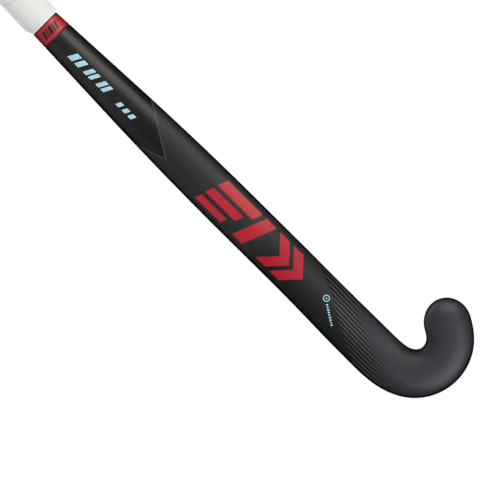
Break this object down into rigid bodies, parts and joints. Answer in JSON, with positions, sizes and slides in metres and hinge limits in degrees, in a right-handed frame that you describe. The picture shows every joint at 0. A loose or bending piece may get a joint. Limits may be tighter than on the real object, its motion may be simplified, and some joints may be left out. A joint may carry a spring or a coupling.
{
  "type": "field hockey stick",
  "caption": "Right-handed field hockey stick: hooked head with a flat face, rounded back, bowed tapering composite shaft, padded wrapped grip, tape collar and printed graphics.",
  "frame": {"origin": "on the floor plane under the head, at the middle of the bounding box in X and Y", "axes": "+Z along the shaft from the head up to the butt, +X from the shaft towards the toe, +Y out of the flat playing face, so the rounded back faces -Y"},
  "size_m": [0.1174, 0.0482, 0.927],
  "materials": {
    "carbon_shell": "satin",
    "glass_aramid_laminate": "matte",
    "core_tube_laminate": "matte",
    "head_core_foam": "matte",
    "handle_foam": "matte",
    "butt_plug_wood": "matte",
    "end_cap_rubber": "matte",
    "underlay_foam": "matte",
    "grip_polyurethane": "matte",
    "collar_tape": "gloss",
    "black_print": "matte",
    "red_print": "satin",
    "blue_print": "satin",
    "grey_print": "satin",
    "pinstripe_print": "satin"
  },
  "bodies": {
    "root": {"carbon_shell": "carbon_shell", "glass_aramid_liner": "glass_aramid_laminate", "toe_side_core_tube": "core_tube_laminate", "heel_side_core_tube": "core_tube_laminate", "centre_rib": "core_tube_laminate", "head_core": "head_core_foam", "lower_handle_foam": "handle_foam", "upper_handle_foam": "handle_foam", "butt_plug": "butt_plug_wood", "end_cap": "end_cap_rubber", "grip_underlay": "underlay_foam", "grip_wrap": "grip_polyurethane", "collar_tape": "collar_tape", "collar_mark": "black_print", "red_stripe_toe_side": "red_print", "red_stripe_middle": "red_print", "red_stripe_heel_side": "red_print", "red_slash": "red_print", "red_chevron_upper": "red_print", "red_chevron_lower": "red_print", "blue_slash_1": "blue_print", "blue_slash_2": "blue_print", "blue_slash_3": "blue_print", "blue_tick_1": "blue_print", "blue_tick_2": "blue_print", "blue_tick_3": "blue_print", "badge_ring": "blue_print", "badge_line": "blue_print", "panel_line": "grey_print", "pinstripe_transfer": "pinstripe_print"}
  },
  "joints": []
}
